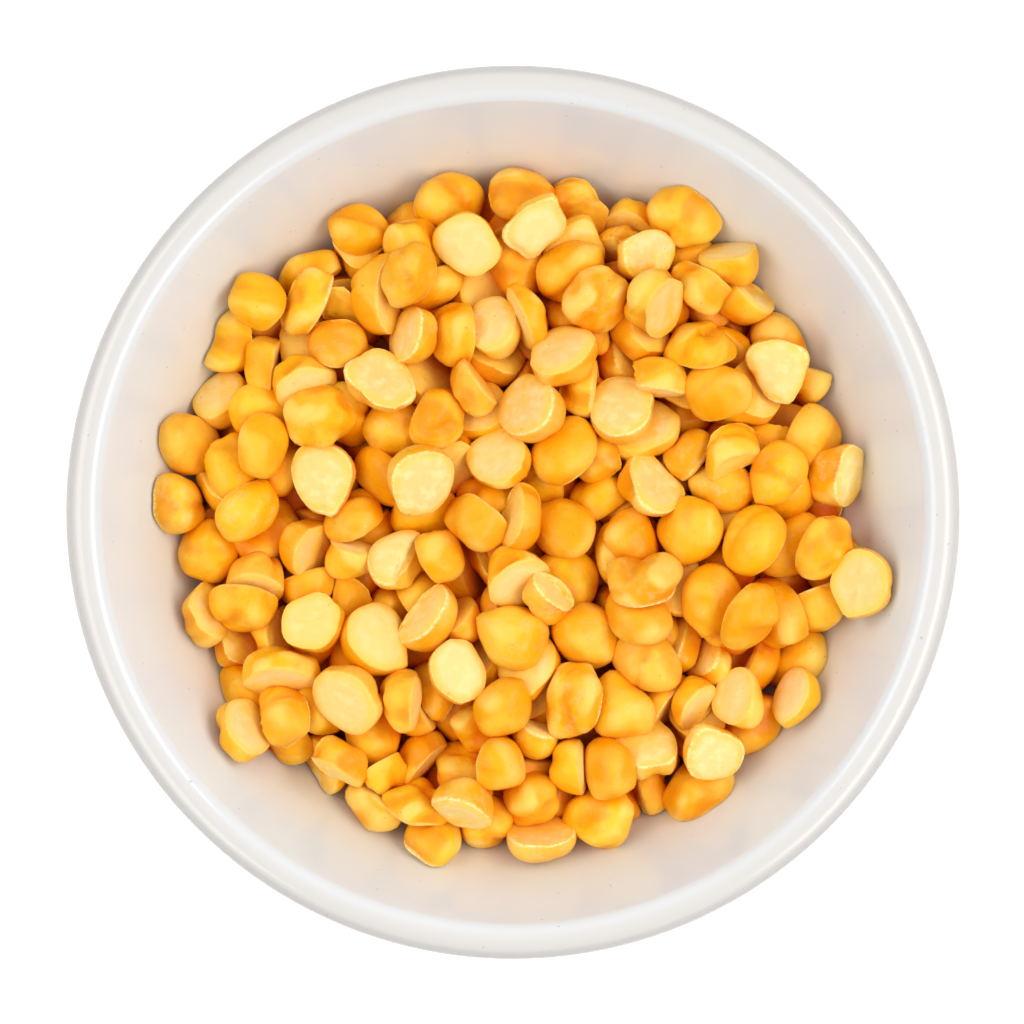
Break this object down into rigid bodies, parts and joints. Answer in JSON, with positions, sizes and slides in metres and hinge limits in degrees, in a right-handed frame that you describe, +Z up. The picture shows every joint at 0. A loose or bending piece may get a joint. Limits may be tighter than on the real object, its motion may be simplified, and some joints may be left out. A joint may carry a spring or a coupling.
{
  "type": "dish of dry split chickpeas",
  "caption": "Small shallow round white bowl with a rolled lip and a foot ring, filled with dry yellow split chickpeas, half-round pulses heaped almost level below the rim.",
  "frame": {"origin": "centre of the foot ring's underside", "axes": "+Z up through the bowl's mouth. The bowl is round about Z. +X and +Y are the right and the top of the picture, which looks straight down"},
  "size_m": [0.084, 0.084, 0.029],
  "materials": {
    "glaze": "glossy warm white glaze",
    "split_chickpea": "dry pulse with a waxy satin skin and chalky cut faces"
  },
  "bodies": {
    "root": {"bowl": "glaze", "lentils": "split_chickpea"}
  },
  "joints": []
}
